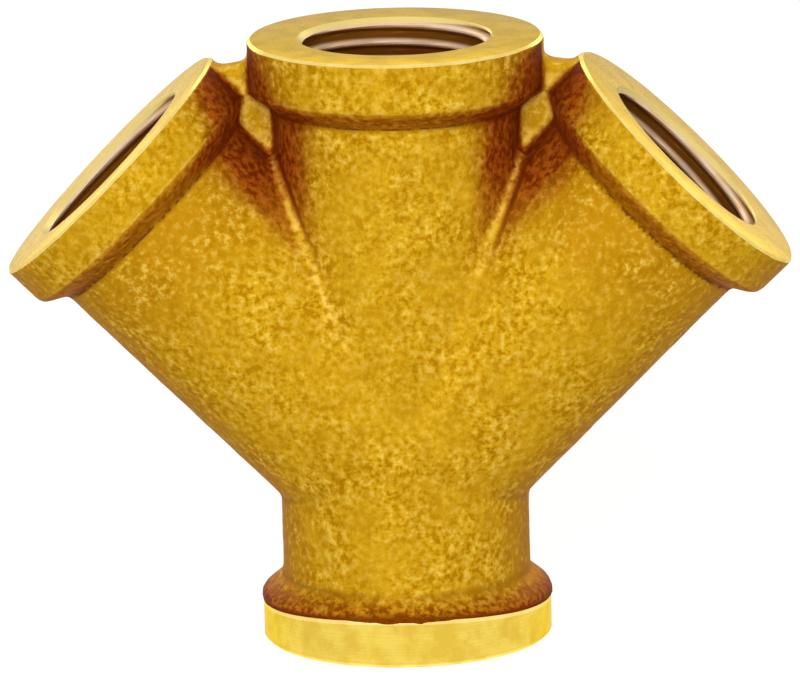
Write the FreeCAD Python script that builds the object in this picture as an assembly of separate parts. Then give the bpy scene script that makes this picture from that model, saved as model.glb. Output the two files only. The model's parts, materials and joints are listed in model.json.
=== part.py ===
"""Cast brass pipe manifold: one inlet below, three female threaded outlets above.

The body is one sand casting. A straight run rises from the inlet to the middle
outlet, and two branches leave it at 45 degrees in the same plane. Each mouth has
a collar, flat webs brace the outlet collars against each other, and the faces,
the rim of the inlet and the tapped bores are machined.

Frame: millimetres, +Z up, the outlets lie in the XZ plane, and the origin is the
middle of the machined inlet face, on which the body stands.
"""
import FreeCAD, Part
import math
import os
from FreeCAD import Vector

# Where the mouths are
node_height = 20.3            # inlet face to the point where the axes meet
middle_height = 62.9          # inlet face to the middle outlet face
branch_length = 42.0          # meeting point to a side outlet face, along its axis
branch_angle = 45.0           # degrees between a branch and the run

# Necks and collars of the outlets
neck_d = 25.6
collar_d = 30.4
side_collar_band = 4.8        # straight side of a side outlet's collar
middle_collar_band = 5.4
collar_taper = 1.5            # slope from the collar down to its neck
collar_corner_r = 1.0         # cast rounding between the band and the slope
face_chamfer = 0.25           # broken edge of a machined outlet face

# Collar of the inlet
inlet_rim_d = 29.8            # turned cylinder
inlet_rim_height = 4.6
inlet_cast_d = 30.0           # cast skin above the turned cylinder
inlet_cast_band = 0.4
inlet_taper = 1.8
inlet_corner_r = 0.5
inlet_edge_chamfer = 0.3

# Webs between the outlet collars
web_thickness = 3.0
web_drop = 1.8                # top of a web below the middle outlet face
web_lip = 0.45                # outer end of that top, in from the rim of the side face
web_sag = 0.3                 # hollow of the top edge of a web
web_seat = 1.0                # how far a web reaches into the castings it joins

# Bores, tapped for a parallel half inch pipe thread
thread_minor_d = 18.631
thread_depth = 14.0
countersink_d = 20.0
countersink_angle = 45.0
run_core_d = 17.4             # cored waterway of the run
branch_core_d = 16.8          # cored waterway of a branch
drill_point_angle = 59.0      # slope of the step between tapped bore and waterway

UP = Vector(0, 0, 1)
ACROSS = Vector(0, 1, 0)
ORIGIN = Vector(0, 0, 0)


def rounded_wire(corners):
    """Closed wire in the XZ plane through (radius, height, rounding) corners."""
    points = [Vector(r, 0, z) for r, z, _ in corners]
    edges, ends = [], []
    for i, (_, _, rounding) in enumerate(corners):
        here, before, after = points[i], points[i - 1], points[(i + 1) % len(points)]
        if not rounding:
            ends.append((here, here))
            continue
        back, ahead = (before - here).normalize(), (after - here).normalize()
        half = back.getAngle(ahead) / 2
        reach = rounding / math.tan(half)
        inward = (back + ahead).normalize()
        crown = here + inward * (rounding / math.sin(half) - rounding)
        ends.append((here + back * reach, here + ahead * reach))
        edges.append(Part.Arc(ends[-1][0], crown, ends[-1][1]).toShape())
    for i, (start, _) in enumerate(ends):
        edges.append(Part.LineSegment(ends[i - 1][1], start).toShape())
    return Part.Wire(Part.__sortEdges__(edges))


def turned(corners):
    """Solid of revolution about Z of a profile of rounded corners."""
    return Part.Face(rounded_wire(corners)).revolve(ORIGIN, UP, 360)


def outlet_casting(length, band):
    """Collar and neck of an outlet, its face at height 0 and its neck below it."""
    collar_r, neck_r = collar_d / 2, neck_d / 2
    return turned([
        (0, 0, 0),
        (collar_r - face_chamfer, 0, 0),
        (collar_r, -face_chamfer, 0),
        (collar_r, -band, collar_corner_r),
        (neck_r, -band - collar_taper, 0),
        (neck_r, -length, 0),
        (0, -length, 0),
    ])


def inlet_casting():
    """Turned rim, cast shoulder and neck of the inlet, its face at height 0."""
    rim_r, cast_r, neck_r = inlet_rim_d / 2, inlet_cast_d / 2, neck_d / 2
    band_top = inlet_rim_height + inlet_cast_band
    return turned([
        (0, 0, 0),
        (rim_r - inlet_edge_chamfer, 0, 0),
        (rim_r, inlet_edge_chamfer, 0),
        (rim_r, inlet_rim_height, 0),
        (cast_r, inlet_rim_height, 0),
        (cast_r, band_top, inlet_corner_r),
        (neck_r, band_top + inlet_taper, 0),
        (neck_r, node_height, 0),
        (0, node_height, 0),
    ])


def mouth_cutter(core_d):
    """Countersink and tapped bore down to the waterway, the mouth at height 0."""
    minor_r, core_r = thread_minor_d / 2, core_d / 2
    mouth_r = countersink_d / 2
    sink = (mouth_r - minor_r) / math.tan(math.radians(countersink_angle))
    step = (minor_r - core_r) / math.tan(math.radians(drill_point_angle))
    return turned([
        (0, 0, 0),
        (mouth_r, 0, 0),
        (minor_r, -sink, 0),
        (minor_r, -thread_depth, 0),
        (core_r, -thread_depth - step, 0),
        (0, -thread_depth - step, 0),
    ])


def outlets():
    """Angle from the run, axis length, collar band and waterway of each outlet."""
    side = (branch_length, side_collar_band, branch_core_d)
    middle = (middle_height - node_height, middle_collar_band, run_core_d)
    return [(-branch_angle, *side), (0.0, *middle), (branch_angle, *side)]


def to_outlet(shape, angle, length):
    """Carry a shape from height 0 to the mouth of an outlet, its seam towards the run."""
    if angle > 0:
        shape.rotate(ORIGIN, UP, 180)
    shape.translate(Vector(0, 0, length))
    shape.rotate(ORIGIN, ACROSS, angle)
    shape.translate(Vector(0, 0, node_height))
    return shape


def castings():
    """Run and branches."""
    body = inlet_casting()
    for angle, length, band, _ in outlets():
        body = body.fuse(to_outlet(outlet_casting(length, band), angle, length))
    return body


def web(side):
    """Flat plate between the middle outlet and the side outlet on one side, +1 or -1."""
    lean = math.radians(branch_angle)
    node = Vector(0, 0, node_height)
    along = Vector(side * math.sin(lean), 0, math.cos(lean))
    inward = Vector(-side * math.cos(lean), 0, math.sin(lean))
    bisector = Vector(side * math.sin(lean / 2), 0, math.cos(lean / 2))
    side_depth = side_collar_band + collar_taper
    middle_depth = middle_collar_band + collar_taper
    seat_r = neck_d / 2 - web_seat

    top_in = Vector(side * (collar_d / 2 - web_seat), 0, middle_height - web_drop)
    top_out = node + along * (branch_length - web_lip) + inward * (collar_d / 2 - web_lip)
    branch_root = node + along * (branch_length - side_depth) + inward * seat_r
    crotch = node + bisector * (seat_r / math.sin(lean / 2))
    run_root = Vector(side * seat_r, 0, middle_height - middle_depth)
    hollow = (top_in + top_out) * 0.5 - Vector(0, 0, web_sag)

    edges = [Part.Arc(top_in, hollow, top_out).toShape()]
    rest = [top_out, branch_root, crotch, run_root, top_in]
    edges += [Part.LineSegment(a, b).toShape() for a, b in zip(rest, rest[1:])]
    plate = Part.Face(Part.Wire(edges)).extrude(ACROSS * web_thickness)
    plate.translate(ACROSS * (-web_thickness / 2))
    return plate


def passages():
    """Waterways and tapped bores as one cutting solid."""
    cutter = Part.makeCylinder(run_core_d / 2, middle_height)
    inlet = mouth_cutter(run_core_d)
    inlet.rotate(ORIGIN, ACROSS, 180)
    cutter = cutter.fuse(inlet)
    for angle, length, _, core_d in outlets():
        if angle:
            core = Part.makeCylinder(core_d / 2, length, Vector(0, 0, -length))
            cutter = cutter.fuse(to_outlet(core, angle, length))
        cutter = cutter.fuse(to_outlet(mouth_cutter(core_d), angle, length))
    return cutter.removeSplitter()


def manifold_body():
    body = castings().fuse([web(-1), web(1)]).removeSplitter()
    return body.cut(passages()).removeSplitter().Solids[0]


def main():
    os.makedirs("parts", exist_ok=True)
    body = manifold_body()
    body.exportStep("parts/manifold_body.step")
    box = body.BoundBox
    print("valid", body.isValid(), "volume", round(body.Volume), "mm3")
    print("size", round(box.XLength, 2), round(box.YLength, 2), round(box.ZLength, 2))


main()
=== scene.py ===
"""Looks of a cast brass pipe manifold with one inlet and three threaded outlets.

The casting is grown from the CAD solid: its mouths are filled, the whole is remeshed
into one rounded skin with a sand grain, and then faced, turned and tapped like the
real one, so that cast and machined surfaces meet in crisp edges.
"""

import json
import math

import bmesh
import bpy
import numpy as np
from mathutils import Matrix, Vector, noise
from mathutils.bvhtree import BVHTree


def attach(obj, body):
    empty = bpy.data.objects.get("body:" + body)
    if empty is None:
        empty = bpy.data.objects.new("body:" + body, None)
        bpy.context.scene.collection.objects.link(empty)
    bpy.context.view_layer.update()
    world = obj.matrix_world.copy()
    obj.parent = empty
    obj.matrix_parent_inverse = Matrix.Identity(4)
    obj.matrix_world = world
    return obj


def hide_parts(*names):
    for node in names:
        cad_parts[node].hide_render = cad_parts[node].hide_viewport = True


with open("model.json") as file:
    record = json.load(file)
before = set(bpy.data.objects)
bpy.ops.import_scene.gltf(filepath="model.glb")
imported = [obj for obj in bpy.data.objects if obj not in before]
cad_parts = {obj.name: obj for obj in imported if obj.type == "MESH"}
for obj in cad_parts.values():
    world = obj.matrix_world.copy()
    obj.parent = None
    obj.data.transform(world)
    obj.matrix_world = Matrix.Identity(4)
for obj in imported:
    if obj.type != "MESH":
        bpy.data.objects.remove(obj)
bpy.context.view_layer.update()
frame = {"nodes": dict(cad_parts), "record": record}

MM = 0.001
NODE = "manifold_body"
BRANCH_LEAN = 0.1                         # share of an axis along X from which its port is a branch

# Thread and mouth, a parallel half inch pipe thread
PITCH = 1.814 * MM
THREAD_MAJOR_R = 10.478 * MM
MOUTH_R = 10.0 * MM                       # widest radius of the countersink
CORE_R = {0: 8.7 * MM, 1: 8.4 * MM}       # waterway of the run, and of a branch
THREAD_ROWS = 10                          # rows of points in one turn
THREAD_COLUMNS = 80
THREAD_START = 0.17                       # turn at which a root meets the mouth
THREAD_FLAT = 0.14                        # share of half a turn that is flat at a crest, and at a root
STEP_SLOPE = 0.6                          # depth over width of the step from tapped bore to waterway

# Blank and machining
BLANK_STOCK = 1.2 * MM                    # metal above a face before it is cut
PLUG_DEPTH = 2.6 * MM                     # how far a plug fills a mouth of the CAD solid
PLUG_COLUMNS = 96
VOXEL = 0.42 * MM
CAST_SMOOTHING = 3
FACE_CHAMFER = 0.36 * MM
FACING_OVERHANG = 1.0 * MM                # how far the facing cutter reaches past a collar
FACING_COLUMNS = 144
SEARCH_DEPTH = 2 * MM                     # below a mouth, where its collar's radius is looked up
SEARCH_RADIUS = 15.7 * MM                 # and how far from its axis, which leaves out the webs
RIM_R = 14.9 * MM
RIM_HEIGHT = 4.5 * MM                     # mean height of the turned rim of the inlet
RIM_WAVE = 0.5 * MM                       # it reaches higher in front and behind than at the sides
RIM_STOCK = 0.15 * MM                     # metal outside the rim before it is turned
RIM_EDGE = 0.42 * MM                      # painted highlight line at the top of the turned rim
RIM_OVERHANG = 3 * MM
RIM_COLUMNS = 192
NEAR_AXIS = 0.001 * MM                    # innermost corner of a tube, which never meets its axis
PAST_NODE = 0.5 * MM                      # how far the inlet's bore runs past the branching point

# Sand grain, as size and depth of its lumps, and the line where the halves of the mould met
LUMPS = [(3.2 * MM, 0.09 * MM), (1.1 * MM, 0.05 * MM)]
PARTING_HEIGHT = 0.10 * MM
PARTING_HALF_WIDTH = 0.45 * MM

# Raised line along the creases between the necks, left by the pattern's fillets, with a painted highlight on
# it and a painted shadow in the groove beside it
CREASE_HEIGHT = {-1: 0.20 * MM, 1: 0.13 * MM}
# strength of the painted highlight along the line, left and right
CREASE_STRENGTH = {-1: 1.0, 1: 0.6}
CREASE_HALF_WIDTH = 0.42 * MM
CREASE_SPAN = {-1: (12 * MM, 33.6 * MM), 1: (18 * MM, 33.6 * MM)}
CREASE_FADE = (5 * MM, 1 * MM)            # over which it rises from its start, and falls to its end
CREASE_LUMPS = 1.6 * MM
CREASE_UNEVEN = 0.7
CREASE_CLEAR = (0.9 * MM, 1.6 * MM)       # from the line, where the painted shade of corners begins
GROOVE_PLACE = 0.72 * MM                  # groove beside that line, on its +X side, with a painted shadow in it
GROOVE_HALF_WIDTH = 0.3 * MM
GROOVE_DEPTH = 0.10 * MM
GROOVE_SPAN = (21 * MM, 29 * MM)          # from the branching point, over which it sets in
GROOVE_END = (33.2 * MM, 33.8 * MM)
CREASE_CORE = 0.3                         # share of its half width over which the line is full
GROOVE_CORE = 0.4
STAIN_AND_SHADE_SPAN = (23 * MM, 32 * MM)           # over which residue and painted shade set in

# Brown residue and painted shade where a wall faces another wall; walls turned along Y stay clear of both
WALL_RAYS = 20
WALL_CONE = math.radians(50)
WALL_REACH = 18 * MM
CLEAR_ALONG_Y = (0.72, 0.96)                 # share of the normal along Y from which a wall is clear of residue and painted shade
WEB_HALF = (1.6 * MM, 2.0 * MM)           # half thickness of a web, and where residue and painted shade begin beside it
WEB_REACH = (3.2 * MM, 4.4 * MM)          # half width of a web across the crease plane
WEB_START = (31 * MM, 32.5 * MM)          # from the branching point
SLOPE_DEPTH = (4.0 * MM, 7.6 * MM)        # below a mouth, where the slope under its collar lies
NECK_SHADE_SPAN = (23 * MM, 31 * MM)            # along a branch, over which painted shade grows on its neck
NECK_SHADE_END = (34.8 * MM, 35.8 * MM)         # over which that ends
NECK_SHADE_REACH = (12 * MM, 17 * MM)           # from the run's axis
SLOPE_TURN = (0.2, 0.5)                   # share of the normal down the bore, from level to full slope
COLLAR_MARGIN = 0.3 * MM
RAY_START = 0.05 * MM
BEND_SMOOTHING = 3
SHARP_ANGLE = math.radians(32)

# Camera, fitted to the photograph's 800 by 678 frame
PHOTO_WIDTH = 800
FOCAL_PX = 8741
CAMERA_DISTANCE = 0.900
CAMERA_AZIMUTH = math.radians(2.37)
CAMERA_ELEVATION = math.radians(13.39)
CAMERA_ROLL = math.radians(-1.314)
LOOK_RIGHT = -0.177 * MM
LOOK_HEIGHT = 31.07 * MM
SENSOR = 36.0
CAMERA_FAR = 20                           # metres

# Stage, in metres
FLOOR_HALF = 3.0
FLOOR_COLOUR = (0.5, 0.5, 0.49, 1)
FLOOR_ROUGHNESS = 0.9
FLOOR_GLOW = 0.8
FLOOR_GLOW_COLOUR = (1, 1, 0.99, 1)
AMBIENT = (0.24, 0.24, 0.24, 1)
LAMP_AIM = 0.03
LAMP_DISTANCE = 0.8


def node_height(record):
    """Height at which the branch axes meet the run, from the right outlet's mount."""
    for mount in record["mounts"]:
        axis = mount["axis"]
        if mount["kind"] == "threaded_hole" and axis[0] > BRANCH_LEAN:
            return mount["pos_m"][2] - mount["pos_m"][0] * axis[2] / axis[0]
    raise ValueError("no branch mount")


NODE_HEIGHT = node_height(frame["record"])


def srgb(red, green, blue):
    """Linear colour of an 8 bit screen colour."""
    def linear(value):
        value /= 255
        return value / 12.92 if value <= 0.04045 else ((value + 0.055) / 1.055) ** 2.4
    return (linear(red), linear(green), linear(blue), 1.0)


class Port:
    """Mouth of the casting: its centre, outward axis and radii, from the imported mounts."""

    def __init__(self, mount, body):
        self.name = mount["name"].replace("_thread", "")
        self.axis = Vector(mount["axis"]).normalized()
        self.minor_r = mount["dims"]["r_mm"] * MM
        self.wall = mount["dims"]["length_mm"] * MM
        self.sink = MOUTH_R - self.minor_r
        self.mouth = Vector(mount["pos_m"]) + self.axis * (self.wall / 2 + self.sink)
        self.is_inlet = self.axis.z < 0
        self.is_branch = abs(self.axis.x) > BRANCH_LEAN
        self.core_r = CORE_R[int(self.is_branch)]
        self.collar_r = self.widest(body)
        across = Vector((0, 1, 0))
        side = across.cross(self.axis)
        self.matrix = Matrix((side, across, self.axis)).transposed().to_4x4()
        self.matrix.translation = self.mouth

    def widest(self, body):
        """Largest radius of the CAD solid just below the mouth."""
        points = np.array([v.co - self.mouth for v in body.data.vertices])
        axial = points @ np.array(self.axis)
        radial = np.linalg.norm(points - np.outer(axial, self.axis), axis=1)
        near = (axial > -SEARCH_DEPTH) & (radial < SEARCH_RADIUS)
        return float(radial[near].max())


def mesh_object(name, vertices, faces):
    mesh = bpy.data.meshes.new(name)
    mesh.from_pydata(vertices, [], faces)
    mesh.update()
    thing = bpy.data.objects.new(name, mesh)
    bpy.context.scene.collection.objects.link(thing)
    return thing


def ring_surface(name, radii, heights, columns, matrix):
    """Closed turned surface. radii[row][column], rising or falling heights, capped at both ends."""
    vertices, faces = [], []
    for row, height in enumerate(heights):
        for column in range(columns):
            turn = 2 * math.pi * column / columns
            radius = radii[row][column]
            vertices.append((radius * math.cos(turn), radius * math.sin(turn), height))
    for row in range(len(heights) - 1):
        for column in range(columns):
            after = (column + 1) % columns
            low, high = row * columns, (row + 1) * columns
            faces.append((low + column, low + after, high + after, high + column))
    last = (len(heights) - 1) * columns
    for start, height, flip in ((0, heights[0], True), (last, heights[-1], False)):
        centre = len(vertices)
        vertices.append((0, 0, height))
        for column in range(columns):
            pair = (start + column, start + (column + 1) % columns)
            faces.append((centre, pair[1], pair[0]) if flip else (centre, pair[0], pair[1]))
    thing = mesh_object(name, vertices, faces)
    thing.data.transform(matrix)
    if heights[0] > heights[-1]:
        thing.data.flip_normals()
    return thing


def tube(name, profile, columns, matrix):
    """Closed ring turned from a loop of (radius, height) corners that never meets the axis."""
    vertices, faces = [], []
    count = len(profile)
    for column in range(columns):
        turn = 2 * math.pi * column / columns
        vertices += [(r * math.cos(turn), r * math.sin(turn), z) for r, z in profile]
    for column in range(columns):
        here, after = column * count, (column + 1) % columns * count
        for i in range(count):
            j = (i + 1) % count
            faces.append((here + i, after + i, after + j, here + j))
    thing = mesh_object(name, vertices, faces)
    thing.data.transform(matrix)
    outward_normals(thing)
    return thing


def outward_normals(thing):
    bm = bmesh.new()
    bm.from_mesh(thing.data)
    bmesh.ops.recalc_face_normals(bm, faces=bm.faces)
    bm.to_mesh(thing.data)
    bm.free()


def flat_radii(radii, columns):
    return [[radius] * columns for radius in radii]


def apply_modifier(thing, kind, **settings):
    """Add a modifier, bake its result into the mesh and take it off again."""
    modifier = thing.modifiers.new(kind.lower(), kind)
    for key, value in settings.items():
        setattr(modifier, key, value)
    depsgraph = bpy.context.evaluated_depsgraph_get()
    result = bpy.data.meshes.new_from_object(thing.evaluated_get(depsgraph))
    thing.modifiers.clear()
    old = thing.data
    thing.data = result
    bpy.data.meshes.remove(old)


def join_meshes(target, others):
    bm = bmesh.new()
    bm.from_mesh(target.data)
    for other in others:
        bm.from_mesh(other.data)
        bpy.data.objects.remove(other)
    bm.to_mesh(target.data)
    bm.free()


def blank(body, ports):
    """Cast skin before machining: the CAD solid with its mouths filled and stock on its faces."""
    skin = bpy.data.objects.new("manifold_skin", body.data.copy())
    skin.data.materials.clear()
    bpy.context.scene.collection.objects.link(skin)
    plugs = []
    for port in ports:
        radius, depth = port.collar_r, PLUG_DEPTH
        if port.is_inlet:
            radius, depth = RIM_R + RIM_STOCK, RIM_HEIGHT + RIM_WAVE
        plugs.append(ring_surface("plug", flat_radii([radius, radius], PLUG_COLUMNS),
                                  [-depth, BLANK_STOCK], PLUG_COLUMNS, port.matrix))
    join_meshes(skin, plugs)
    apply_modifier(skin, "REMESH", mode="VOXEL", voxel_size=VOXEL, adaptivity=0.0)
    apply_modifier(skin, "SMOOTH", factor=0.5, iterations=CAST_SMOOTHING)
    return skin


def clamped(value):
    return min(1.0, max(0.0, value))


def crease_line(place, crease_angle):
    """Strength of the crease line at a point, which fades along it, and its height there."""
    side = -1 if place.x < 0 else 1
    rise = place.z - NODE_HEIGHT
    along = side * place.x * math.sin(crease_angle) + rise * math.cos(crease_angle)
    off = side * place.x * math.cos(crease_angle) - rise * math.sin(crease_angle)
    start, end = CREASE_SPAN[side]
    rising, falling = CREASE_FADE
    fade = clamped((along - start) / rising) * clamped((end - along) / falling)
    height = CREASE_HEIGHT[side] * fade * max(0.0, 1 - (off / CREASE_HALF_WIDTH) ** 2)
    return fade * CREASE_STRENGTH[side], height


def rim_line(place):
    """Height of the top of the turned rim at a place round the inlet."""
    return RIM_HEIGHT - RIM_WAVE * math.cos(2 * math.atan2(place.y, place.x))


def add_sand_grain(skin, crease_angle):
    """Push the skin inwards by seeded noise, and raise the faint lines that the mould leaves."""
    mesh = skin.data
    creases, heights = np.zeros(len(mesh.vertices)), np.zeros(len(mesh.vertices))
    for vertex, normal in zip(mesh.vertices, [Vector(n.vector) for n in mesh.vertex_normals]):
        depth = 0.0
        for size, amount in LUMPS:
            depth += amount * (0.5 + 0.5 * noise.noise(vertex.co / size))
        seam = max(0.0, 1 - abs(vertex.co.y) / PARTING_HALF_WIDTH)
        creases[vertex.index], ridge = crease_line(vertex.co, crease_angle)
        ridge *= 1 + CREASE_UNEVEN * noise.noise(vertex.co / CREASE_LUMPS)
        heights[vertex.index] = (vertex.co.z - rim_line(vertex.co)) / MM
        vertex.co += normal * (PARTING_HEIGHT * seam * abs(normal.x) + ridge - depth)
    mesh.update()
    add_mark(skin, "crease", creases)
    add_mark(skin, "above_rim", heights)


def thread_radius(port, height, turn):
    """Radius of the tapped bore at a height below the mouth and an angle, right handed."""
    phase = (height / PITCH - turn / (2 * math.pi) + THREAD_START) % 1.0
    tooth = abs(2 * phase - 1)
    tooth = clamped((tooth - THREAD_FLAT) / (1 - 2 * THREAD_FLAT))
    start = min(1.0, -height / port.sink)
    run_out = clamped((port.wall + port.sink + height) / PITCH)
    return port.minor_r + (THREAD_MAJOR_R - port.minor_r) * tooth * start * run_out


def bore_cutter(port):
    """Countersink, thread and waterway of a port as one closed solid."""
    depth = port.wall + port.sink
    rows = int(depth / PITCH * THREAD_ROWS)
    heights = [2 * BLANK_STOCK, BLANK_STOCK]
    heights += [-depth * row / rows for row in range(rows + 1)]
    step = (port.minor_r - port.core_r) * STEP_SLOPE
    heights += [-depth - step, -to_node(port)]
    radii = []
    for height in heights:
        row = []
        for column in range(THREAD_COLUMNS):
            turn = 2 * math.pi * column / THREAD_COLUMNS
            cone = MOUTH_R + min(0.0, height)
            tapped = max(cone, thread_radius(port, min(0.0, height), turn))
            row.append(tapped if height >= -depth else port.core_r)
        radii.append(row)
    return ring_surface("bore", radii, heights, THREAD_COLUMNS, port.matrix)


def to_node(port):
    """Depth from a mouth to the point where the axes meet."""
    if port.is_inlet:
        return NODE_HEIGHT + PAST_NODE
    return (port.mouth - Vector((0, 0, NODE_HEIGHT))).length


def facing_cutter(port):
    """Disc that cuts a face flat, with a sloped lip that breaks its edge and takes a painted highlight."""
    outer = port.collar_r + FACING_OVERHANG
    rim = port.collar_r - FACE_CHAMFER
    top = 2 * BLANK_STOCK
    profile = [(NEAR_AXIS, 0), (rim, 0), (outer, rim - outer), (outer, top), (NEAR_AXIS, top)]
    disc = tube("facing", profile, FACING_COLUMNS, port.matrix)
    second_material(disc, port, lambda radius, height: radius > rim)
    return disc


def rim_cutter(port):
    """Ring that turns the inlet collar to a cylinder, up to a wavy line under its cast shoulder."""
    outer = RIM_R + RIM_OVERHANG
    top = 2 * BLANK_STOCK
    profile = [(RIM_R, top), (RIM_R, RIM_EDGE - RIM_HEIGHT), (RIM_R, -RIM_HEIGHT)]
    profile += [(outer, -RIM_HEIGHT), (outer, top)]
    ring = tube("turning", profile, RIM_COLUMNS, port.matrix)
    # The rim's top edge takes the second material, a painted highlight line.
    second_material(ring, port, lambda radius, height: radius < outer and height < RIM_EDGE - RIM_HEIGHT)
    for vertex in ring.data.vertices:
        if vertex.co.z > 0:
            vertex.co.z += rim_line(vertex.co) - RIM_HEIGHT
    return ring


def second_material(cutter, port, chosen):
    """Give a cutter's second material to the faces whose radius and height in the port are chosen."""
    inverse = port.matrix.inverted()
    for polygon in cutter.data.polygons:
        local = inverse @ polygon.center
        if chosen(math.hypot(local.x, local.y), local.z):
            polygon.material_index = 1


def cut(skin, cutter, *materials):
    """Subtract a cutter. The cut surface takes the cutter's materials."""
    for material in materials:
        cutter.data.materials.append(material)
    apply_modifier(skin, "BOOLEAN", operation="DIFFERENCE", solver="MANIFOLD",
                   material_mode="TRANSFER", object=cutter)
    bpy.data.objects.remove(cutter)


def nodes_of(material):
    material.use_nodes = True
    tree = material.node_tree
    tree.nodes.clear()
    output = tree.nodes.new("ShaderNodeOutputMaterial")
    shader = tree.nodes.new("ShaderNodeBsdfPrincipled")
    tree.links.new(shader.outputs["BSDF"], output.inputs["Surface"])
    return tree, shader


def node(tree, kind, inputs=None, **settings):
    """Add a shader node. inputs maps a socket to a value or to another node's output."""
    made = tree.nodes.new(kind)
    for key, value in settings.items():
        setattr(made, key, value)
    for key, value in (inputs or {}).items():
        if isinstance(value, bpy.types.NodeSocket):
            tree.links.new(value, made.inputs[key])
        else:
            made.inputs[key].default_value = value
    return made


def noise_at(tree, position, size, detail=3.0, roughness=0.55):
    texture = node(tree, "ShaderNodeTexNoise", {"Vector": position, "Scale": 1 / size,
                                                "Detail": detail, "Roughness": roughness})
    return texture.outputs["Fac"]


def mixed(tree, factor, first, second):
    """Blend of two colours. The node's colour sockets come after those for numbers and vectors."""
    return node(tree, "ShaderNodeMix", {0: factor, 6: first, 7: second}, data_type="RGBA").outputs[2]


def ranged(tree, value, low, high, to_low=0.0, to_high=1.0):
    made = node(tree, "ShaderNodeMapRange", {"Value": value, "From Min": low, "From Max": high,
                                             "To Min": to_low, "To Max": to_high})
    return made.outputs["Result"]


def math_node(tree, operation, first, second):
    return node(tree, "ShaderNodeMath", {0: first, 1: second}, operation=operation).outputs[0]


def vector_node(tree, operation, inputs, output=0):
    return node(tree, "ShaderNodeVectorMath", inputs, operation=operation).outputs[output]


def product(tree, first, *others):
    for other in others:
        first = math_node(tree, "MULTIPLY", first, other)
    return first


def largest(tree, first, *others):
    for other in others:
        first = math_node(tree, "MAXIMUM", first, other)
    return first


def absolute(tree, value):
    return math_node(tree, "ABSOLUTE", value, 0.0)


def attribute(tree, name):
    return node(tree, "ShaderNodeAttribute", attribute_name=name).outputs["Fac"]


def bump(tree, shader, height):
    made = node(tree, "ShaderNodeBump", {"Height": height, "Distance": 1.0, "Strength": 1.0})
    tree.links.new(made.outputs["Normal"], shader.inputs["Normal"])


# Colours
CAST_LIGHT = srgb(248, 208, 84)
CAST_MID = srgb(221, 171, 28)
CAST_DARK = srgb(182, 128, 6)
# painted highlight on cast edges, web fillets and crease lines
EDGE_HIGHLIGHT = srgb(252, 208, 88)
# painted shade on the sides turned from Y, the inlet's shoulder and the branches' necks
PAINTED_SHADE = srgb(184, 112, 10)
# residue, with painted shade where walls face each other, under the collars and on the shoulder's sides
RESIDUE_AND_SHADE_LIGHT = srgb(192, 102, 24)
RESIDUE_AND_SHADE_DARK = srgb(136, 54, 8)
# painted shade in corners, in the groove beside the crease line, above the turned rim and on steep stained
# sides
CORNER_SHADE = srgb(104, 34, 4)
# one turned brass, painted darker on the outlet faces and lighter on the inlet's rim and face: shaded and
# lit copies standing in for the reflections they show
FACE_TONES_SHADED = (srgb(206, 166, 56), srgb(184, 146, 46))
RIM_TONES_LIT = (srgb(234, 208, 92), srgb(220, 186, 68))
# painted highlight on the broken edges of faces and rim, and along the countersink's edge
EDGE_HIGHLIGHT_TONES = (srgb(252, 226, 140), srgb(242, 208, 112))
# painted highlight on the thread crests
CREST_HIGHLIGHT_TONES = (srgb(255, 224, 194), srgb(252, 208, 164))
# painted shade in the thread roots and deeper down the bore
BORE_ROOT_SHADE = srgb(140, 88, 24)
BORE_DEEP_SHADE = srgb(84, 24, 10)
WATERWAY = srgb(126, 82, 30)

# Noise on the cast skin, by size
GRAIN_SIZE = 0.70 * MM
LUMP_SIZE = 1.9 * MM
PATCH_SIZE = 5 * MM
GRAIN_BUMP = 0.14 * MM
LUMP_BUMP = 0.07 * MM

# Where each mark of the cast skin begins and is full, and its share at both ends if not 0 and 1
PATCH_CONTRAST = (0.38, 0.62, 0.45, 1.0)
SPECKLE = (0.36, 0.54, 0.25, 1.0)
DARK_GRAIN = (0.49, 0.38)
LIGHT_GRAIN = (0.53, 0.66)
RESIDUE_GRAIN = (0.38, 0.62)
SPECK_GRAIN = (0.52, 0.42)
GRAIN_ROUGHNESS = (0.3, 0.7, 0.42, 0.6)
HOLLOW_LUMPS = (0.35, 0.65, 0.35, 0.0)
SHOULDER_HEIGHT = (3.0, 1.0, 0.0, 0.85)
SHOULDER_CALM = (0.0, 0.8, 1.0, 0.4)
SHOULDER_SIDE = (0.2, 0.5, 0.0, 0.85)
# painted shade on the sides turned from Y
SIDE_SHADE = (0.8, 0.25, 0.0, 0.6)
WEB_CALM = (0.0, 1.0, 0.5, 1.0)
# residue and painted shade where walls face each other and under the collars
STAIN_AND_SHADE_FACING = (0.02, 0.25)
STAIN_AND_SHADE_ALONG = (0.15, 1.0)
SHADE_UNDERSIDE = 0.55
UNDERSIDE_RAGGED = 0.8
UNDERSIDE_FULL = (0.55, 1.25)
# painted shade on steep sides, and in corners, grooves, slope ends and above the rim
DEEP_SIDE = (0.45, 0.2, 0.0, 0.8)
DEEP_UNDERSIDE = (0.5, 1.0, 1.0, 0.2)
CORNER_BEND = (-0.3, -0.9, 0.0, 0.85)
CORNER_GROOVE = 0.75
CORNER_SLOPE = (0.3, -0.1, 0.0, 3.6)
CORNER_RIM = (0.6, 0.2, 0.0, 0.9)
# painted highlight on web fillets, edges and crease lines
HIGHLIGHT_FILLET = (-0.5, -0.85, 0.0, 0.8)
HIGHLIGHT_BEND = (0.55, 0.95, 0.0, 0.8)
HIGHLIGHT_FRONT = (0.35, 0.7)
HIGHLIGHT_UNDERSIDE = (0.5, 0.1)
HIGHLIGHT_RIDGE = (0.4, 0.58, 0.2, 0.9)
HIGHLIGHT_HEIGHT = (2.2, 4.0)
# most painted shade on a branch's neck
DARKEST_NECK_SHADE = 0.4

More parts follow.
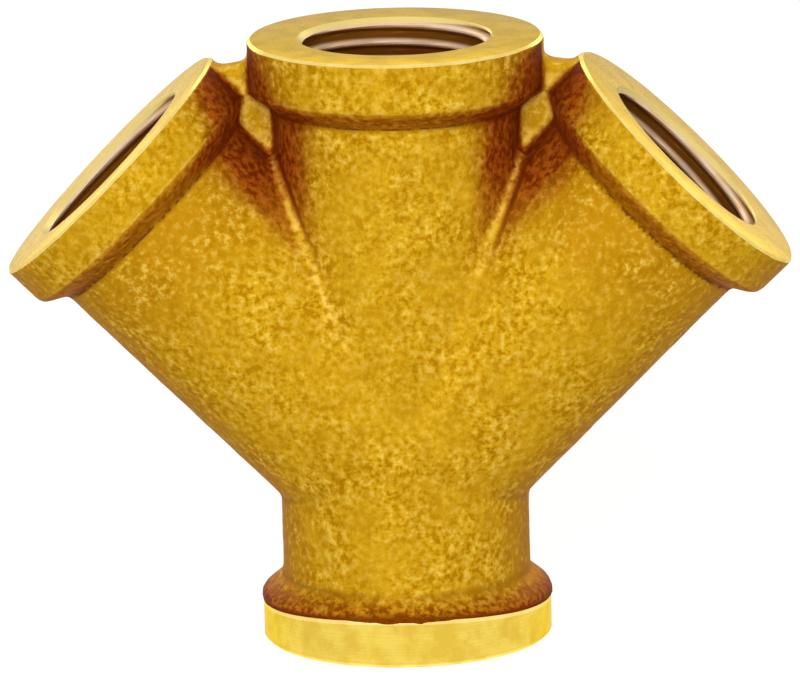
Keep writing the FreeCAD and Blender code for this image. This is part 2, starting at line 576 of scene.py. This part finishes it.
# Metal of the cast skin, and finish of the cut surfaces
CAST_METALLIC = 0.35
CAST_SPECULAR = 0.03
CAST_TINT = (0.55, 0.3, 0.08, 1)
CUT_SPECULAR = 0.05
CUT_TINT = (0.95, 0.82, 0.36, 1)
RING_SIZE = 0.16 * MM
RING_TONE = (0.35, 0.65, 0.0, 0.35)
RING_ROUGHNESS = (0.3, 0.7, 0.24, 0.34)
RING_BUMP = 0.010 * MM
MOTTLE_SIZE = 2.5 * MM
MOTTLE = (0.42, 0.62)
DOME_DEPTH = 0.36 * MM                    # how much lower a face looks at its rim than at its mouth
FACE_METALLIC = 0.6
BORE_METALLIC = 0.2
ROOT_DEPTH = (0.2 * MM, 0.6 * MM)         # outside the minor radius, where painted shade in the roots begins and is full
# where the painted highlight along the countersink's edge lies
CONE_WIDTH = (0.1 * MM, 0.25 * MM, 1.0, 0.0)
CONE_END = (-0.55 * MM, -0.4 * MM)
# painted shade deeper down the bore, less on the crests
DEEP_SPAN = (-1 * MM, -5 * MM, 0.0, 0.9)
DEEP_CREST = (0.0, 1.0, 0.3, 1.0)
CORED_BLEND = 0.5 * MM
CORED_SIZE = 0.7 * MM
CORED_GRAIN = (0.4, 0.6)
CORED_ROUGHER = 0.35


def crease_factors(tree, place, crease_angle):
    """Factors of what lies along the planes between the necks: ridge with its painted highlight, groove with
    its painted shadow, web, residue with painted shade, and painted corner shade.
    """
    rise = math_node(tree, "SUBTRACT", place["Z"], NODE_HEIGHT)
    reach = absolute(tree, place["X"])
    off = product(tree, reach, math.cos(crease_angle))
    off = math_node(tree, "SUBTRACT", off, product(tree, rise, math.sin(crease_angle)))
    along = math_node(tree, "ADD", product(tree, reach, math.sin(crease_angle)),
                      product(tree, rise, math.cos(crease_angle)))
    beside = product(tree, off, math_node(tree, "SIGN", place["X"], 0.0))
    beside = absolute(tree, math_node(tree, "SUBTRACT", beside, GROOVE_PLACE))
    off = absolute(tree, off)
    ridge = product(tree, attribute(tree, "crease"),
                    ranged(tree, off, CREASE_HALF_WIDTH, CREASE_CORE * CREASE_HALF_WIDTH))
    groove = product(tree, ranged(tree, beside, GROOVE_HALF_WIDTH, GROOVE_CORE * GROOVE_HALF_WIDTH),
                     ranged(tree, along, *GROOVE_SPAN), ranged(tree, along, *GROOVE_END, 1.0, 0.0))
    web = product(tree, ranged(tree, absolute(tree, place["Y"]), *WEB_HALF, 1.0, 0.0),
                  ranged(tree, off, *WEB_REACH, 1.0, 0.0), ranged(tree, along, *WEB_START))
    reached = ranged(tree, along, *STAIN_AND_SHADE_SPAN, *STAIN_AND_SHADE_ALONG)
    return ridge, groove, web, reached, ranged(tree, off, *CREASE_CLEAR)


def neck_painted_shade(tree, place, branch_angle):
    """Share of painted shade on a branch's neck, which grows up to the slope under its collar."""
    rise = math_node(tree, "SUBTRACT", place["Z"], NODE_HEIGHT)
    reach = absolute(tree, place["X"])
    along = math_node(tree, "ADD", product(tree, reach, math.sin(branch_angle)),
                      product(tree, rise, math.cos(branch_angle)))
    return product(tree, ranged(tree, along, *NECK_SHADE_SPAN, 0.0, DARKEST_NECK_SHADE),
                   ranged(tree, along, *NECK_SHADE_END, 1.0, 0.0), ranged(tree, reach, *NECK_SHADE_REACH))


class CastFields:
    """What the colour of the cast skin is mixed from, each as a socket of its node tree."""

    def __init__(self, tree, crease_angle):
        coordinates = node(tree, "ShaderNodeTexCoord").outputs
        place = node(tree, "ShaderNodeSeparateXYZ", {"Vector": coordinates["Object"]}).outputs
        normal = node(tree, "ShaderNodeSeparateXYZ", {"Vector": coordinates["Normal"]}).outputs
        self.frontal = absolute(tree, normal["Y"])
        self.sideways = absolute(tree, normal["X"])
        self.grain = noise_at(tree, coordinates["Object"], GRAIN_SIZE, 2.0, 0.6)
        self.lumps = noise_at(tree, coordinates["Object"], LUMP_SIZE, 2.0)
        patches = noise_at(tree, coordinates["Object"], PATCH_SIZE, 2.0)
        self.contrast = ranged(tree, patches, *PATCH_CONTRAST)
        self.speckle = ranged(tree, self.grain, *SPECKLE)
        self.facing = attribute(tree, "facing_wall")
        self.bend = attribute(tree, "bend")
        self.above_rim = attribute(tree, "above_rim")
        self.slope = attribute(tree, "underside")
        ragged = math_node(tree, "ADD", self.slope, product(tree, self.grain, UNDERSIDE_RAGGED))
        self.underside = ranged(tree, ragged, *UNDERSIDE_FULL)
        factors = crease_factors(tree, place, crease_angle)
        self.ridge, self.groove, web, self.reached, self.off_crease = factors
        self.off_web = math_node(tree, "SUBTRACT", 1.0, web)
        uneven = math_node(tree, "ADD", self.above_rim, self.lumps)
        self.shoulder = ranged(tree, uneven, *SHOULDER_HEIGHT)
        self.neck_shade = neck_painted_shade(tree, place, 2 * crease_angle)


def bare_colour(tree, cast):
    """Mottled gold, with painted shade on the sides turned from Y, the shoulder and the branches' necks."""
    side = product(tree, ranged(tree, cast.frontal, *SIDE_SHADE), cast.off_web)
    colour = mixed(tree, largest(tree, cast.shoulder, side, cast.neck_shade), CAST_MID, PAINTED_SHADE)
    dark = product(tree, ranged(tree, cast.grain, *DARK_GRAIN), cast.contrast,
                   ranged(tree, cast.off_web, *WEB_CALM))
    light = product(tree, ranged(tree, cast.grain, *LIGHT_GRAIN), cast.contrast,
                    ranged(tree, cast.shoulder, *SHOULDER_CALM))
    colour = mixed(tree, dark, colour, CAST_DARK)
    colour = mixed(tree, light, colour, CAST_LIGHT)
    return mixed(tree, ranged(tree, cast.lumps, *HOLLOW_LUMPS), colour, CAST_DARK)


def with_residue_and_shade(tree, cast, colour):
    """Brown residue with painted shade where walls face each other, painted shade under the collars, on the
    shoulder's sides, in the corners and on steep sides, and dark specks on the shoulder.
    """
    residue = mixed(tree, ranged(tree, cast.grain, *RESIDUE_GRAIN), RESIDUE_AND_SHADE_DARK, RESIDUE_AND_SHADE_LIGHT)
    # Painted shade on the shoulder's sides and under the collars, and residue with painted shade where walls
    # face each other
    facing = product(tree, ranged(tree, cast.facing, *STAIN_AND_SHADE_FACING), cast.reached)
    shoulder_side = product(tree, cast.shoulder, ranged(tree, cast.sideways, *SHOULDER_SIDE))
    stain_and_shade = largest(tree, facing, product(tree, cast.underside, SHADE_UNDERSIDE), shoulder_side)
    stain_and_shade = product(tree, stain_and_shade, cast.off_web)
    colour = mixed(tree, stain_and_shade, colour, residue)
    specks = product(tree, cast.shoulder, ranged(tree, cast.grain, *SPECK_GRAIN))
    colour = mixed(tree, specks, colour, RESIDUE_AND_SHADE_DARK)

    # Painted shade: darkest on stained walls turned furthest from Y, and in concave corners, the groove,
    # both ends of the under-collar slopes and just above the turned rim.
    deep = product(tree, ranged(tree, cast.frontal, *DEEP_SIDE), stain_and_shade,
                   ranged(tree, cast.underside, *DEEP_UNDERSIDE))
    corner = product(tree, ranged(tree, cast.bend, *CORNER_BEND), cast.off_web, cast.off_crease)
    slope_ends = product(tree, cast.slope, math_node(tree, "SUBTRACT", 1.0, cast.slope), cast.off_web,
                         ranged(tree, cast.bend, *CORNER_SLOPE))
    corner = largest(tree, corner, product(tree, cast.groove, CORNER_GROOVE), slope_ends,
                     ranged(tree, cast.above_rim, *CORNER_RIM))
    corner = largest(tree, product(tree, corner, cast.speckle), deep)
    return mixed(tree, corner, colour, CORNER_SHADE)


def with_painted_highlights(tree, cast, colour):
    """Painted highlight on edges turned along Y, on the fillets of the webs and along the raised crease
    lines.
    """
    fillet = math_node(tree, "SUBTRACT", ranged(tree, cast.bend, *HIGHLIGHT_FILLET), cast.off_web)
    edge = product(tree, ranged(tree, cast.bend, *HIGHLIGHT_BEND), ranged(tree, cast.frontal, *HIGHLIGHT_FRONT),
                   ranged(tree, cast.underside, *HIGHLIGHT_UNDERSIDE))
    ridge = product(tree, cast.ridge, ranged(tree, cast.lumps, *HIGHLIGHT_RIDGE))
    highlight = product(tree, largest(tree, fillet, edge, ridge), cast.speckle,
                   ranged(tree, cast.above_rim, *HIGHLIGHT_HEIGHT))
    return mixed(tree, highlight, colour, EDGE_HIGHLIGHT)


def cast_material(crease_angle):
    """Sand cast brass: fine grain, mottled gold, brown residue with painted shade in the hollows, and
    painted highlights on edges.
    """
    material = bpy.data.materials.new("sand_cast_brass")
    tree, shader = nodes_of(material)
    cast = CastFields(tree, crease_angle)
    colour = bare_colour(tree, cast)
    colour = with_residue_and_shade(tree, cast, colour)
    colour = with_painted_highlights(tree, cast, colour)
    tree.links.new(colour, shader.inputs["Base Color"])
    shader.inputs["Metallic"].default_value = CAST_METALLIC
    shader.inputs["Specular IOR Level"].default_value = CAST_SPECULAR
    shader.inputs["Specular Tint"].default_value = CAST_TINT
    tree.links.new(ranged(tree, cast.grain, *GRAIN_ROUGHNESS), shader.inputs["Roughness"])

    height = product(tree, cast.grain, cast.contrast, GRAIN_BUMP)
    height = math_node(tree, "ADD", height, product(tree, cast.lumps, LUMP_BUMP))
    height = math_node(tree, "SUBTRACT", height, product(tree, cast.groove, GROOVE_DEPTH))
    bump(tree, shader, height)
    return material


def lathe_radius(tree, port):
    """Distance from a port's axis, and depth along it, in the material's own coordinates."""
    position = node(tree, "ShaderNodeTexCoord").outputs["Object"]
    offset = vector_node(tree, "SUBTRACT", {0: position, 1: port.mouth})
    depth = vector_node(tree, "DOT_PRODUCT", {0: offset, 1: port.axis}, "Value")
    along = vector_node(tree, "SCALE", {0: port.axis, "Scale": depth})
    across = vector_node(tree, "SUBTRACT", {0: offset, 1: along})
    return position, vector_node(tree, "LENGTH", {0: across}, "Value"), depth


def lathe_finish(tree, shader, position, feed, tones, dome=0.0):
    """Colour and roughness of fine rings along the tool's path and a mottle, rounded down the dome."""
    rings = node(tree, "ShaderNodeTexNoise", {"W": feed, "Scale": 1 / RING_SIZE, "Detail": 2.0},
                 noise_dimensions="1D").outputs["Fac"]
    mottle = noise_at(tree, position, MOTTLE_SIZE)
    colour = mixed(tree, ranged(tree, mottle, *MOTTLE), *tones)
    colour = mixed(tree, ranged(tree, rings, *RING_TONE), colour, tones[1])
    height = math_node(tree, "ADD", product(tree, rings, RING_BUMP), product(tree, dome, DOME_DEPTH))
    bump(tree, shader, height)
    shader.inputs["Metallic"].default_value = 1.0
    shader.inputs["Specular IOR Level"].default_value = CUT_SPECULAR
    shader.inputs["Specular Tint"].default_value = CUT_TINT
    return colour, ranged(tree, rings, *RING_ROUGHNESS)


def turned_material(port, name, tones):
    """Turned brass round a port's axis, its face a little rounded towards the outer edge."""
    material = bpy.data.materials.new(name + port.name)
    tree, shader = nodes_of(material)
    position, radius, depth = lathe_radius(tree, port)
    dome = ranged(tree, radius, MOUTH_R, port.collar_r)
    dome = product(tree, dome, dome, -1.0)
    feed = math_node(tree, "ADD", radius, depth)
    colour, roughness = lathe_finish(tree, shader, position, feed, tones, dome)
    if not port.is_inlet:
        shader.inputs["Metallic"].default_value = FACE_METALLIC
    tree.links.new(colour, shader.inputs["Base Color"])
    tree.links.new(roughness, shader.inputs["Roughness"])
    return material


def tapped_material(port):
    """Tapped brass: painted highlight on the crests and the countersink's edge, painted shade in the roots
    and deeper down, and a dark brown waterway.
    """
    material = bpy.data.materials.new("tapped_brass_" + port.name)
    tree, shader = nodes_of(material)
    position, radius, depth = lathe_radius(tree, port)
    feed = math_node(tree, "ADD", radius, depth)
    colour, roughness = lathe_finish(tree, shader, position, feed, CREST_HIGHLIGHT_TONES)
    shader.inputs["Metallic"].default_value = BORE_METALLIC
    # Painted shade in the thread roots.
    root = ranged(tree, radius, *[port.minor_r + outside for outside in ROOT_DEPTH])
    colour = mixed(tree, root, colour, BORE_ROOT_SHADE)
    # Painted highlight along the countersink's edge.
    off_cone = math_node(tree, "SUBTRACT", math_node(tree, "SUBTRACT", radius, depth), MOUTH_R)
    cone = product(tree, ranged(tree, absolute(tree, off_cone), *CONE_WIDTH), ranged(tree, depth, *CONE_END))
    colour = mixed(tree, cone, colour, EDGE_HIGHLIGHT_TONES[0])
    # Painted shade deeper down the bore.
    deep = product(tree, ranged(tree, depth, *DEEP_SPAN), ranged(tree, root, *DEEP_CREST))
    colour = mixed(tree, deep, colour, BORE_DEEP_SHADE)
    cored = ranged(tree, depth, CORED_BLEND - port.wall, -CORED_BLEND - port.wall)
    grain = noise_at(tree, position, CORED_SIZE)
    skin = mixed(tree, ranged(tree, grain, *CORED_GRAIN), WATERWAY, BORE_DEEP_SHADE)
    tree.links.new(mixed(tree, cored, colour, skin), shader.inputs["Base Color"])
    rough = math_node(tree, "ADD", product(tree, cored, CORED_ROUGHER), roughness)
    tree.links.new(rough, shader.inputs["Roughness"])
    return material


def cone_of_rays(count, cone):
    """Even directions round +Z within a cone."""
    directions = []
    golden = math.pi * (3 - math.sqrt(5))
    for i in range(count):
        z = 1 - (1 - math.cos(cone)) * (i + 0.5) / count
        flat = math.sqrt(1 - z * z)
        directions.append(Vector((flat * math.cos(golden * i), flat * math.sin(golden * i), z)))
    return directions


def add_mark(skin, name, values):
    mark = skin.data.attributes.new(name, "FLOAT", "POINT")
    mark.data.foreach_set("value", values.astype(np.float32))


def mark_facing_walls(skin):
    """Write the share of a point's view that another wall fills, from 0 to 1, on walls not turned along Y,
    for residue and painted shade.
    """
    mesh = skin.data
    tree = BVHTree.FromPolygons([v.co for v in mesh.vertices], [p.vertices for p in mesh.polygons])
    directions = cone_of_rays(WALL_RAYS, WALL_CONE)
    clean_from, clean_to = CLEAR_ALONG_Y
    values = np.zeros(len(mesh.vertices))
    for index, vertex in enumerate(mesh.vertices):
        normal = mesh.vertex_normals[index].vector
        turned_from_y = 1 - max(0.0, (abs(normal.y) - clean_from) / (clean_to - clean_from))
        if turned_from_y > 0:
            turn = normal.to_track_quat("Z", "Y").to_matrix()
            start = vertex.co + normal * RAY_START
            hits = sum(tree.ray_cast(start, turn @ ray, WALL_REACH)[0] is not None for ray in directions)
            values[index] = turned_from_y * hits / len(directions)
    add_mark(skin, "facing_wall", values)


def points_and_normals(mesh):
    count = len(mesh.vertices)
    points, normals = np.empty(count * 3), np.empty(count * 3)
    mesh.vertices.foreach_get("co", points)
    mesh.vertex_normals.foreach_get("vector", normals)
    return points.reshape(-1, 3), normals.reshape(-1, 3)


def mark_undersides(skin, ports):
    """Write 1 on the slopes under the outlet collars, less where they turn away, and 0 elsewhere."""
    points, normals = points_and_normals(skin.data)
    values = np.zeros(len(points))
    level, full = SLOPE_TURN
    for port in ports:
        if port.is_inlet:
            continue
        axis = np.array(port.axis)
        offset = points - np.array(port.mouth)
        depth = -offset @ axis
        radius = np.linalg.norm(offset + np.outer(depth, axis), axis=1)
        near = (radius < port.collar_r + COLLAR_MARGIN) & (depth > SLOPE_DEPTH[0]) & (depth < SLOPE_DEPTH[1])
        turned_down = np.clip((-normals @ axis - level) / (full - level), 0, 1)
        values = np.maximum(values, turned_down * near)
    add_mark(skin, "underside", values)


def mark_bend(skin):
    """Write how sharply the skin bends, per millimetre: above 0 on its edges, below 0 in its corners."""
    mesh = skin.data
    count = len(mesh.vertices)
    points, normals = points_and_normals(mesh)
    ends = np.empty(len(mesh.edges) * 2, np.int64)
    mesh.edges.foreach_get("vertices", ends)
    first, second = ends.reshape(-1, 2).T

    def gathered(to_first, to_second):
        return np.bincount(first, to_first, count) + np.bincount(second, to_second, count)

    step = points[second] - points[first]
    length = (step ** 2).sum(axis=1)
    rise = gathered((step * normals[first]).sum(axis=1), -(step * normals[second]).sum(axis=1))
    bend = -4 * rise / gathered(length, length) * MM
    neighbours = gathered(np.ones(len(first)), np.ones(len(first)))
    for _ in range(BEND_SMOOTHING):
        bend = (bend + gathered(bend[second], bend[first]) / neighbours) / 2
    add_mark(skin, "bend", bend)


def build_manifold():
    """Grow the cast skin from the CAD solid, mark it, machine it and hand it to the frame."""
    body = frame["nodes"][NODE]
    mounts = [m for m in frame["record"]["mounts"] if m["kind"] == "threaded_hole"]
    ports = [Port(mount, body) for mount in mounts]
    skin = blank(body, ports)
    branch = next(port for port in ports if port.is_branch)
    crease_angle = branch.axis.angle(Vector((0, 0, 1))) / 2
    mark_facing_walls(skin)
    mark_undersides(skin, ports)
    mark_bend(skin)
    add_sand_grain(skin, crease_angle)
    skin.data.materials.append(cast_material(crease_angle))
    for port in ports:
        turned = turned_material(port, "turned_brass_", RIM_TONES_LIT if port.is_inlet else FACE_TONES_SHADED)
        bright = turned_material(port, "edge_brass_", EDGE_HIGHLIGHT_TONES)
        cut(skin, facing_cutter(port), turned, bright)
        if port.is_inlet:
            cut(skin, rim_cutter(port), turned, bright)
        cut(skin, bore_cutter(port), tapped_material(port))
    skin.data.polygons.foreach_set("use_smooth", [True] * len(skin.data.polygons))
    skin.data.set_sharp_from_angle(angle=SHARP_ANGLE)
    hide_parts(NODE)
    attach(skin, "root")


def seen_directly(tree):
    """1 for rays from the camera, a mirror or glass, and 0 for rays that only light the object."""
    path = node(tree, "ShaderNodeLightPath").outputs
    return largest(tree, path["Is Camera Ray"], path["Is Glossy Ray"], path["Is Transmission Ray"])


def backdrop():
    """Pale floor that fades to white and keeps the object's shadow."""
    half = FLOOR_HALF
    corners = [(-half, -half, 0), (half, -half, 0), (half, half, 0), (-half, half, 0)]
    floor = mesh_object("floor", corners, [(0, 1, 2, 3)])
    material = bpy.data.materials.new("white_floor")
    tree, shader = nodes_of(material)
    shader.inputs["Base Color"].default_value = FLOOR_COLOUR
    shader.inputs["Roughness"].default_value = FLOOR_ROUGHNESS
    tree.links.new(product(tree, seen_directly(tree), FLOOR_GLOW), shader.inputs["Emission Strength"])
    shader.inputs["Emission Color"].default_value = FLOOR_GLOW_COLOUR
    floor.data.materials.append(material)


def world_light():
    """Even grey light on the object, and white where the surroundings are seen."""
    world = bpy.data.worlds.new("studio")
    bpy.context.scene.world = world
    world.use_nodes = True
    tree = world.node_tree
    tree.nodes.clear()
    output = tree.nodes.new("ShaderNodeOutputWorld")
    ambient = node(tree, "ShaderNodeBackground", {"Color": AMBIENT, "Strength": 1.0})
    white = node(tree, "ShaderNodeBackground", {"Color": (1, 1, 1, 1), "Strength": 1.0})
    mix = node(tree, "ShaderNodeMixShader",
               {0: seen_directly(tree), 1: ambient.outputs[0], 2: white.outputs[0]})
    tree.links.new(mix.outputs[0], output.inputs["Surface"])


def area_lamp(name, azimuth, elevation, size, radiance, glossy=True, diffuse=True):
    """Softbox at an angle from the front, to the right and up, aimed at the manifold."""
    a, e = math.radians(azimuth), math.radians(elevation)
    width, height = size
    away = Vector((math.sin(a) * math.cos(e), -math.cos(a) * math.cos(e), math.sin(e)))
    lamp = bpy.data.lights.new(name, "AREA")
    lamp.shape = "RECTANGLE"
    lamp.size, lamp.size_y = width, height
    lamp.energy = radiance * math.pi * width * height
    thing = bpy.data.objects.new(name, lamp)
    thing.location = Vector((0, 0, LAMP_AIM)) + away * LAMP_DISTANCE
    thing.rotation_mode = "QUATERNION"
    thing.rotation_quaternion = away.to_track_quat("Z", "Y")
    thing.visible_glossy = glossy
    thing.visible_diffuse = diffuse
    bpy.context.scene.collection.objects.link(thing)


def lamps():
    """Lamps that light the object, and cards behind it that only show in its metal."""
    area_lamp("key", -3, 27, (0.5, 0.4), 6.6, glossy=False)
    area_lamp("front_box", 8, 10, (1.3, 0.6), 0.2)
    area_lamp("left_box", -20, 10, (0.55, 0.8), 0.4)
    area_lamp("right_box", 55, 10, (0.35, 0.8), 0.5)
    area_lamp("back_card", 180, 40, (1.0, 0.4), 1.9, diffuse=False)
    area_lamp("left_card", 210, 12, (0.25, 0.25), 3.0, diffuse=False)
    area_lamp("right_card", 150, 12, (0.25, 0.25), 3.0, diffuse=False)


def add_camera():
    a, e, roll = CAMERA_AZIMUTH, CAMERA_ELEVATION, CAMERA_ROLL
    back = Vector((math.sin(a) * math.cos(e), -math.cos(a) * math.cos(e), math.sin(e)))
    right = Vector((math.cos(a), math.sin(a), 0))
    up = back.cross(right)
    across = right * math.cos(roll) + up * math.sin(roll)
    upward = -right * math.sin(roll) + up * math.cos(roll)
    data = bpy.data.cameras.new("camera")
    data.sensor_width = SENSOR
    data.lens = FOCAL_PX * SENSOR / PHOTO_WIDTH
    data.clip_end = CAMERA_FAR
    camera = bpy.data.objects.new("camera", data)
    place = Vector((0, 0, LOOK_HEIGHT)) + right * LOOK_RIGHT + back * CAMERA_DISTANCE
    camera.matrix_world = Matrix.Translation(place) @ Matrix((across, upward, back)).transposed().to_4x4()
    bpy.context.scene.collection.objects.link(camera)
    bpy.context.scene.camera = camera


bpy.context.scene.view_settings.view_transform = "Standard"
add_camera()
build_manifold()
backdrop()
world_light()
lamps()
